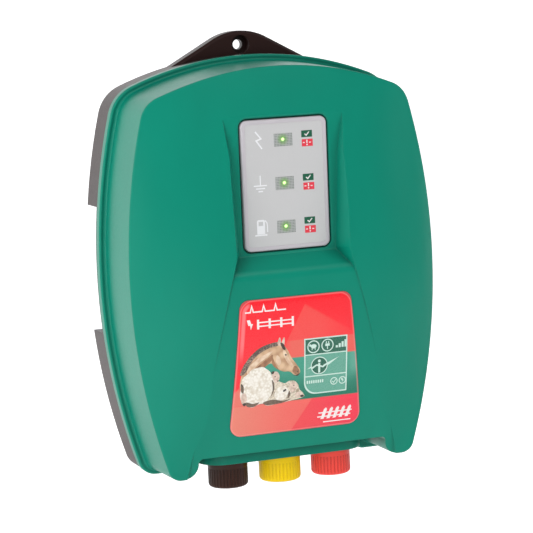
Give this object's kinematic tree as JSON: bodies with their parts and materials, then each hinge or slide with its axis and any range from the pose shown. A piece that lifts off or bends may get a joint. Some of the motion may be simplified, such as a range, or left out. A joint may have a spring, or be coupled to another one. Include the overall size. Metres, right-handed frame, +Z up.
{
  "type": "electric fence energizer",
  "caption": "Wall-hung electric fence energizer: domed two-part case with hanging tab, sloping indicator panel and screw-down terminal knobs along the underside.",
  "frame": {"origin": "on the axis of the hanging hole, where it meets the wall plane", "axes": "+X to the right of someone facing the case, front faces -Y, wall is the plane Y = 0, +Z up"},
  "size_m": [0.2194, 0.092, 0.2926],
  "materials": {
    "cover_green": "satin moulded",
    "housing_black": "satin moulded",
    "seal_rubber": "matte",
    "screw_steel": "zinc plated",
    "bezel_silver": "fine satin",
    "foil_print": "printed, satin",
    "window_smoke": "smoked",
    "board_laminate": "solder mask",
    "led_lens": "diffused",
    "ribbon_grey": "satin",
    "label_print": "printed, domed",
    "capacitor_case": "satin",
    "core_lacquer": "lacquered",
    "bobbin_white": "satin",
    "winding_copper": "enamelled",
    "winding_tape": "tape",
    "epoxy_black": "moulded epoxy",
    "heatsink_aluminium": "extruded",
    "sleeve_blue": "shrunk sleeve",
    "fuse_glass": "clear",
    "contact_brass": "drawn",
    "varistor_blue": "dipped",
    "inlet_black": "moulded",
    "wire_brown": "insulated",
    "bush_black": "moulded",
    "stud_stainless": "turned",
    "lug_tin": "tinned",
    "knob_black": "ribbed",
    "knob_yellow": "ribbed",
    "knob_red": "ribbed",
    "wire_black": "insulated",
    "wire_yellow": "insulated",
    "wire_red": "insulated"
  },
  "bodies": {
    "case": {"board_screws": "screw_steel", "control_chip": "epoxy_black", "cover_screws": "screw_steel", "cover_seal": "seal_rubber", "display_bezel": "bezel_silver", "display_board": "board_laminate", "display_cable": "ribbon_grey", "display_foil": "foil_print", "display_screws": "screw_steel", "front_cover": "cover_green", "fuse_clips": "contact_brass", "heatsink": "heatsink_aluminium", "indicator_leds": "led_lens", "indicator_windows": "window_smoke", "inlet_pins": "contact_brass", "inlet_screws": "screw_steel", "main_board": "board_laminate", "name_label": "label_print", "power_inlet": "inlet_black", "pulse_transformer_bobbin": "bobbin_white", "pulse_transformer_core": "core_lacquer", "pulse_transformer_winding": "winding_copper", "rear_housing": "housing_black", "ring_lugs": "lug_tin", "smoothing_capacitor": "sleeve_blue", "storage_capacitors": "capacitor_case", "stud_nuts": "screw_steel", "stud_seals": "seal_rubber", "supply_fuse": "fuse_glass", "supply_transformer_bobbin": "bobbin_white", "supply_transformer_core": "core_lacquer", "supply_transformer_winding": "winding_tape", "supply_wires": "wire_brown", "surge_absorber": "varistor_blue", "terminal_bushes": "bush_black", "terminal_studs": "stud_stainless", "thyristor": "epoxy_black", "thyristor_screw": "screw_steel", "wire_earth": "wire_black", "wire_fence": "wire_red", "wire_low_power": "wire_yellow"},
    "earth_clamp": {"washer_earth": "stud_stainless"},
    "earth_knob": {"knob_earth": "knob_black", "knob_insert_earth": "contact_brass"},
    "low_power_clamp": {"washer_low_power": "stud_stainless"},
    "low_power_knob": {"knob_low_power": "knob_yellow", "knob_insert_low_power": "contact_brass"},
    "fence_clamp": {"washer_fence": "stud_stainless"},
    "fence_knob": {"knob_fence": "knob_red", "knob_insert_fence": "contact_brass"}
  },
  "joints": [
    {"name": "earth_clamp_travel", "type": "slide", "parent": "case", "child": "earth_clamp", "axis": [0, 0, -1], "range_m": [0, 0.00626]},
    {"name": "earth_knob_turn", "type": "hinge", "parent": "earth_clamp", "child": "earth_knob", "pos_m": [-0.036, -0.0464, -0.274], "axis": [0, 0, -1], "range_deg": [0, 1800]},
    {"name": "low_power_clamp_travel", "type": "slide", "parent": "case", "child": "low_power_clamp", "axis": [0, 0, -1], "range_m": [0, 0.00626]},
    {"name": "low_power_knob_turn", "type": "hinge", "parent": "low_power_clamp", "child": "low_power_knob", "pos_m": [0, -0.0464, -0.274], "axis": [0, 0, -1], "range_deg": [0, 1800]},
    {"name": "fence_clamp_travel", "type": "slide", "parent": "case", "child": "fence_clamp", "axis": [0, 0, -1], "range_m": [0, 0.00626]},
    {"name": "fence_knob_turn", "type": "hinge", "parent": "fence_clamp", "child": "fence_knob", "pos_m": [0.036, -0.0464, -0.274], "axis": [0, 0, -1], "range_deg": [0, 1800]}
  ],
  "couplings": [
    {"joint": "earth_clamp_travel", "follows": "earth_knob_turn", "m_per_rad": 0.00019894},
    {"joint": "low_power_clamp_travel", "follows": "low_power_knob_turn", "m_per_rad": 0.00019894},
    {"joint": "fence_clamp_travel", "follows": "fence_knob_turn", "m_per_rad": 0.00019894}
  ]
}
